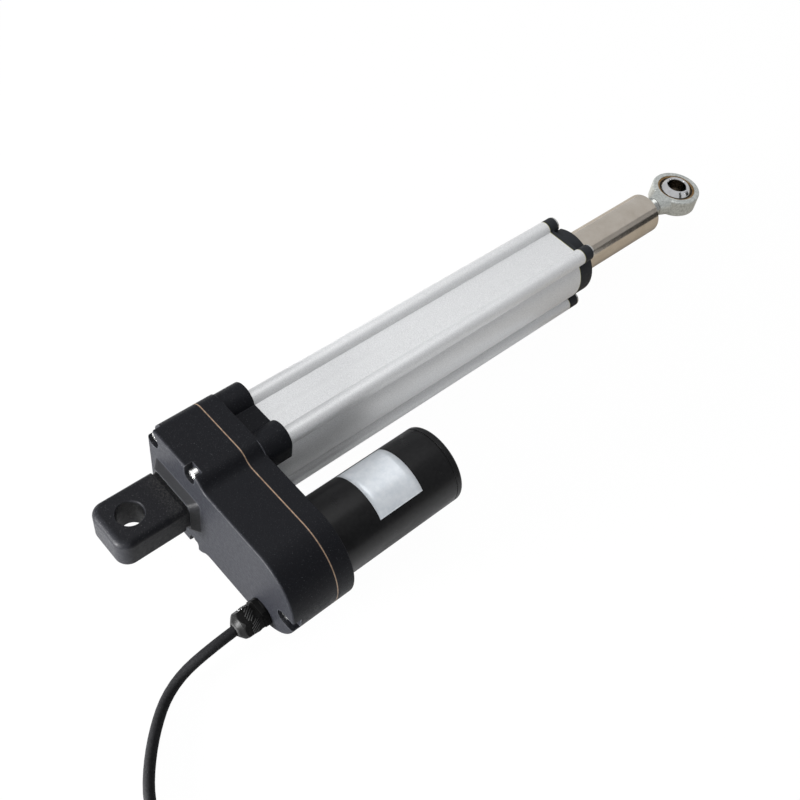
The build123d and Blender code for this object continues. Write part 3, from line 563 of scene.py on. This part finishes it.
# Cap screws: four zinc-plated pan heads with a cross recess, wider than those of the case. They
# go through the front cap's lobes into the tube's corner channels.
CAP_SEAT_X = 356.5 * MM
CAP_HEAD_R = 5.3 * MM
CAP_HEAD_HEIGHT = 2.0 * MM
CAP_SHANK = 26.4 * MM
cap_places = [
    # y and z in millimetres, and the recess's turn in degrees
    (16.8, 22.71, 40),
    (16.8, -22.71, 63),
    (-16.8, 22.71, 86),
    (-16.8, -22.71, 109),
]
mesh = bmesh.new()
for y, z, turn in cap_places:
    pan_head(mesh, (CAP_SEAT_X, y * MM, z * MM), (1, 0, 0), radians(turn), CAP_HEAD_R,
             CAP_HEAD_HEIGHT, SHANK_R, CAP_SHANK)
cap_screws = finish_piece(mesh, "cap_screws", plated, "housing")
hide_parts("front_cap_screws")

# Rod: ground stainless steel tube, plugged and chamfered at its front end, with the faint rings
# that grinding leaves.
ground, tree, shader, place = new_material("stainless_ground")
stretch = tree.nodes.new("ShaderNodeMapping")
stretch.inputs["Scale"].default_value = (1, 0.02, 0.02)
tree.links.new(place, stretch.inputs["Vector"])
rings = noise(tree, stretch.outputs["Vector"], 1400, 4)
stains = noise(tree, place, 55, 4, 0.6)
tint(tree, shader, stains, (0.66, 0.59, 0.50), (0.79, 0.725, 0.64), high=0.72)
roughen(tree, shader, rings, 0.12, 0.18)
bump(tree, shader, rings, 0.03, 0.03 * MM)
shader.inputs["Metallic"].default_value = 1.0
dress(ground, "piston_rod", "rod_end_plug")

# Rod end body: a zinc-plated steel forging with a round head, whose threaded shank is screwed
# into the rod's plug.
forged, tree, shader, place = new_material("zinc_forging")
cast = noise(tree, place, 650, 4, 0.6)
tint(tree, shader, cast, (0.42, 0.44, 0.42), (0.74, 0.76, 0.73))
roughen(tree, shader, cast, 0.28, 0.46)
bump(tree, shader, cast, 0.3, 0.2 * MM)
shader.inputs["Metallic"].default_value = 0.7
dress(forged, "rod_end_body")

# Shank thread: the rolled and zinc-plated turns of the shank that show between the rod's plug
# and the head, and run out before the head.
THREAD_START_X = 449.9 * MM
THREAD_END_X = 461.2 * MM
THREAD_PITCH = 1.5 * MM
THREAD_LOW_R = 7.02 * MM
THREAD_DEPTH = 0.62 * MM
THREAD_FADE = 6
mesh = bmesh.new()
bmesh.ops.create_grid(mesh, x_segments=90, y_segments=64, size=1)
for vert in mesh.verts:
    along = (vert.co.x + 1) / 2
    angle = pi * vert.co.y
    x = THREAD_START_X + along * (THREAD_END_X - THREAD_START_X)
    phase = (x / THREAD_PITCH - angle / (2 * pi)) % 1
    fade = min(1, THREAD_FADE * (1 - along))
    radius = THREAD_LOW_R + THREAD_DEPTH * fade * (1 - abs(2 * phase - 1))
    vert.co = (x, radius * cos(angle), radius * sin(angle))
bmesh.ops.remove_doubles(mesh, verts=mesh.verts, dist=0.01 * MM)
bmesh.ops.recalc_face_normals(mesh, faces=mesh.faces)
rolled_zinc = plain_finish("zinc_thread", (0.30, 0.31, 0.30), (0.55, 0.56, 0.54), 1.0, 0.24, 900)
finish_piece(mesh, "rod_end_thread", rolled_zinc, "rod")

# Race and ball: a turned bronze race pressed into the head, and in it a polished chrome ball
# with a bore. The race's inside and the ball's bore are painted dark, as shade.
EYE_X = 486.5 * MM
RACE_R = 12.7 * MM
BORE_R = 7.1 * MM
STEP_SCALE = 40
SHADE_BLUR = 0.012


def painted_shade_inside(tree, shader, place, edge, bright, shaded):
    """Blends to a dark colour, painted shade, nearer to the eye's axis than edge."""
    # A ramp has few steps, so the distance is scaled up before it.
    from_eye = calculate(tree, "ShaderNodeVectorMath", "SUBTRACT", place, (EYE_X, 0, 0))
    flat = calculate(tree, "ShaderNodeVectorMath", "MULTIPLY", from_eye["Vector"],
                     (STEP_SCALE, STEP_SCALE, 0))
    reach = calculate(tree, "ShaderNodeVectorMath", "LENGTH", flat["Vector"])
    low = STEP_SCALE * edge
    inside = ramp(tree, reach["Value"], (1,) * 3, (0,) * 3, low, low + SHADE_BLUR)
    tree.links.new(mix_colours(tree, inside, bright, shaded), shader.inputs["Base Color"])


turned, tree, shader, place = new_material("bronze_turned")
oxide = noise(tree, place, 500, 4)
# Painted shade on the race's inside.
painted_shade_inside(tree, shader, place, RACE_R,
             ramp(tree, oxide, (0.24, 0.13, 0.05), (0.42, 0.27, 0.12)),
             ramp(tree, oxide, (0.02, 0.016, 0.011), (0.06, 0.045, 0.03)))
shader.inputs["Metallic"].default_value = 0.9
shader.inputs["Roughness"].default_value = 0.4
dress(turned, "rod_end_race")
chrome, tree, shader, place = new_material("chrome_polished")
smudge = noise(tree, place, 260, 3)
# Painted shade in the ball's bore.
painted_shade_inside(tree, shader, place, BORE_R,
             ramp(tree, smudge, (0.74, 0.74, 0.75), (0.88, 0.88, 0.89)),
             ramp(tree, smudge, (0.05, 0.043, 0.036), (0.17, 0.15, 0.13)))
roughen(tree, shader, smudge, 0.07, 0.13)
shader.inputs["Metallic"].default_value = 1.0
dress(chrome, "rod_end_ball")

# Motor: a drawn steel can and a pressed end cap in satin black paint. Two screws hold its front
# plate to the case.
satin, tree, shader, place = new_material("motor_satin_black")
tint(tree, shader, noise(tree, place, 500, 3), (0.0035, 0.0035, 0.004), (0.007, 0.007, 0.0075))
roughen(tree, shader, noise(tree, place, 120, 3), 0.27, 0.34)
bump(tree, shader, noise(tree, place, 1400, 2), 0.08, 0.08 * MM)
shader.inputs["Specular IOR Level"].default_value = 0.2
dress(satin, "motor_can", "motor_end_cap")
dress(plated, "motor_screws")

# Motor plate: a plain silver foil, cut to a rectangle and glued round the upper side of the
# can, nearer to its front plate than to its end cap.
PLATE_START_X = 101.9 * MM
PLATE_END_X = 133.5 * MM
PLATE_R = 25.2 * MM
PLATE_THICK = 0.12 * MM
PLATE_START = radians(38)
PLATE_ARC = radians(97.5)
PLATE_PARTS = 8
MOTOR_Y = -72 * MM
mesh = bmesh.new()
part_length = (PLATE_END_X - PLATE_START_X) / PLATE_PARTS
edge = [mesh.verts.new((PLATE_START_X + i * part_length, MOTOR_Y + PLATE_R, 0))
        for i in range(PLATE_PARTS + 1)]
for pair in zip(edge, edge[1:]):
    mesh.edges.new(pair)
bmesh.ops.rotate(mesh, verts=mesh.verts, cent=(0, MOTOR_Y, 0),
                 matrix=Matrix.Rotation(PLATE_START, 3, "X"))
bmesh.ops.spin(mesh, geom=list(mesh.verts) + list(mesh.edges), cent=(0, MOTOR_Y, 0),
               axis=(1, 0, 0), angle=PLATE_ARC, steps=40)
bmesh.ops.recalc_face_normals(mesh, faces=mesh.faces)
foil, tree, shader, place = new_material("plate_foil_silver")
tint(tree, shader, noise(tree, place, 300, 4), (0.60, 0.64, 0.68), (0.70, 0.73, 0.76))
shader.inputs["Metallic"].default_value = 0.25
shader.inputs["Roughness"].default_value = 0.34
plate = finish_piece(mesh, "motor_plate", foil, "housing")
wall = plate.modifiers.new("wall", "SOLIDIFY")
wall.thickness = PLATE_THICK
wall.offset = 0

# Cable gland: a moulded black body screwed into the case, and a domed nut that squeezes a rubber
# seal round the cable.
moulded = plain_finish("gland_gloss_black", (0.003,) * 3, (0.007,) * 3, 0.0, 0.42, 700, 0.05,
                       0.06)
dress(moulded, "gland_body", "gland_nut")
dress(rubber, "gland_seal")

# Gland ribs: fine slanting grip ribs, moulded on the six flats of the nut, five to a flat.
NUT_FLAT = 7.6 * MM
FLAT_REACH = 4.2 * MM
RIB_X = 21.6 * MM
RIB_LENGTH = 6.4 * MM
RIB_WIDTH = 0.7 * MM
RIB_STEP = 1.6 * MM
RIB_ROUND = 0.12 * MM
RIB_SLANT = radians(35)
mesh = bmesh.new()
for flat in range(6):
    facing = radians(30 + 60 * flat)
    out_way = Vector((0, cos(facing), sin(facing)))
    side_way = Vector((0, -sin(facing), cos(facing)))
    for k in range(-2, 3):
        length = min(RIB_LENGTH, 2 * (FLAT_REACH - abs(k) * RIB_STEP) / sin(RIB_SLANT))
        rib = bmesh.ops.create_cube(mesh, size=1)["verts"]
        bmesh.ops.scale(mesh, verts=rib, vec=(length, RIB_WIDTH, RIB_WIDTH))
        bmesh.ops.rotate(mesh, verts=rib, cent=(0, 0, 0),
                         matrix=Matrix.Rotation(RIB_SLANT, 3, "Z"))
        bmesh.ops.rotate(mesh, verts=rib, cent=(0, 0, 0),
                         matrix=Matrix.Rotation(facing - pi / 2, 3, "X"))
        middle = Vector((RIB_X, GLAND_Y, GLAND_Z)) + NUT_FLAT * out_way + k * RIB_STEP * side_way
        bmesh.ops.translate(mesh, verts=rib, vec=middle)
bmesh.ops.bevel(mesh, geom=list(mesh.edges), offset=RIB_ROUND, segments=2, profile=0.5,
                affect="EDGES", material=-1)
bmesh.ops.recalc_face_normals(mesh, faces=mesh.faces)
# The ribs are coloured lighter than the nut they are moulded on, a painted highlight.
ribbed = plain_finish("gland_rib_black_painted_highlight", (0.010,) * 3, (0.020,) * 3, 0.0, 0.34, 700, 0.05, 0.35)
finish_piece(mesh, "gland_ribs", ribbed, "housing")

# Gland lip: the rubber seal's outer lip, squeezed out of the nut's mouth into a soft ring round
# the cable.
LIP_X = 12.6 * MM
lip_profile = [(0.4, 3.15), (-0.5, 3.2), (-0.8, 3.6), (-0.5, 4.1), (0.4, 4.6)]
mesh = bmesh.new()
verts = [mesh.verts.new((LIP_X + x * MM, GLAND_Y + r * MM, GLAND_Z)) for x, r in lip_profile]
for pair in zip(verts, verts[1:]):
    mesh.edges.new(pair)
bmesh.ops.spin(mesh, geom=list(mesh.verts) + list(mesh.edges), cent=(0, GLAND_Y, GLAND_Z),
               axis=(1, 0, 0), angle=2 * pi, steps=48, use_merge=True)
bmesh.ops.recalc_face_normals(mesh, faces=mesh.faces)
finish_piece(mesh, "gland_lip", rubber, "housing")

# Gear train: cut steel gears with a brass idler between them. The idler turns on a bronze bush
# and a fixed shaft, and the motor's front plate and shaft are steel too.
steel = plain_finish("steel_machined", (0.42, 0.42, 0.43), (0.56, 0.56, 0.57), 1.0, 0.3, 900)
dress(steel, "motor_pinion", "idler_pinion", "spindle_gear", "idler_shaft", "motor_shaft",
      "motor_flange")
brass = plain_finish("brass_cut", (0.52, 0.36, 0.13), (0.66, 0.48, 0.2), 1.0, 0.32, 900)
dress(brass, "idler_gear")
dress(bronze, "idler_bush", "motor_bearings")

# Lead screw: a rolled steel screw in a ball bearing that takes the thrust, with a lock nut. Its
# bronze nut sits in a moulded carrier, pinned to the rod, and a moulded guide holds its tip.
SCREW_WAVE = 62.8
dress(steel, "bearing_outer_ring", "bearing_inner_ring", "bearing_balls", "spindle_lock_nut",
      "retaining_pins")
dress(bronze, "drive_nut")
for node in ("nut_carrier", "screw_tip_guide"):
    dress(plain_finish(node + "_moulded", (0.62, 0.61, 0.56), (0.74, 0.73, 0.68), 0.0, 0.45), node)


def grooved(tree, shader, place, wave_scale, strength, distance):
    """Relief of even grooves across the x axis."""
    wave = tree.nodes.new("ShaderNodeTexWave")
    wave.bands_direction = "X"
    wave.inputs["Scale"].default_value = wave_scale
    tree.links.new(place, wave.inputs["Vector"])
    bump(tree, shader, wave.outputs["Fac"], strength, distance)


rolled, tree, shader, place = new_material("screw_rolled")
tint(tree, shader, noise(tree, place, 700, 3), (0.36, 0.36, 0.37), (0.5, 0.5, 0.51))
shader.inputs["Metallic"].default_value = 1.0
shader.inputs["Roughness"].default_value = 0.3
grooved(tree, shader, place, SCREW_WAVE, 1.0, 0.8 * MM)
dress(rolled, "lead_screw")

# Armature: a core of stamped sheets with enamelled copper windings in its slots and a turned
# copper commutator, between two ferrite magnets.
CORE_WAVE = 628
laminated, tree, shader, place = new_material("core_laminated")
tint(tree, shader, noise(tree, place, 900, 3), (0.3, 0.3, 0.31), (0.42, 0.42, 0.43))
shader.inputs["Metallic"].default_value = 1.0
shader.inputs["Roughness"].default_value = 0.42
grooved(tree, shader, place, CORE_WAVE, 0.5, 0.1 * MM)
dress(laminated, "armature_core")
dress(plain_finish("copper_enamelled", (0.42, 0.15, 0.05), (0.62, 0.27, 0.12), 0.9, 0.3, 1500,
                   0.4), "armature_windings")
dress(plain_finish("copper_turned", (0.55, 0.28, 0.16), (0.68, 0.38, 0.24), 1.0, 0.28, 1200),
      "commutator")
dress(plain_finish("ferrite_dark", (0.04, 0.04, 0.042), (0.08, 0.08, 0.084), 0.1, 0.6),
      "motor_magnets")

# Brushes: two blocks of sintered carbon in a holder of brown laminate, fed by the red-jacketed
# leads from the cable.
dress(plain_finish("laminate_brown", (0.11, 0.05, 0.02), (0.2, 0.1, 0.045), 0.0, 0.5),
      "brush_holder")
dress(plain_finish("carbon_sintered", (0.025,) * 3, (0.05,) * 3, 0.1, 0.55), "brushes")
dress(plain_finish("lead_jacket_red", (0.3, 0.02, 0.015), (0.42, 0.04, 0.03), 0.0, 0.4),
      "motor_leads")

# Limit switches: a green lacquered circuit strip in the tube's slot, with a black cased switch
# at each end of the stroke.
dress(plain_finish("board_lacquer_green", (0.012, 0.10, 0.035), (0.025, 0.18, 0.07), 0.0, 0.35),
      "limit_switch_board")
dress(plain_finish("switch_case_black", (0.012,) * 3, (0.03,) * 3, 0.0, 0.45), "limit_switches")

bpy.context.scene.view_settings.view_transform = "Standard"
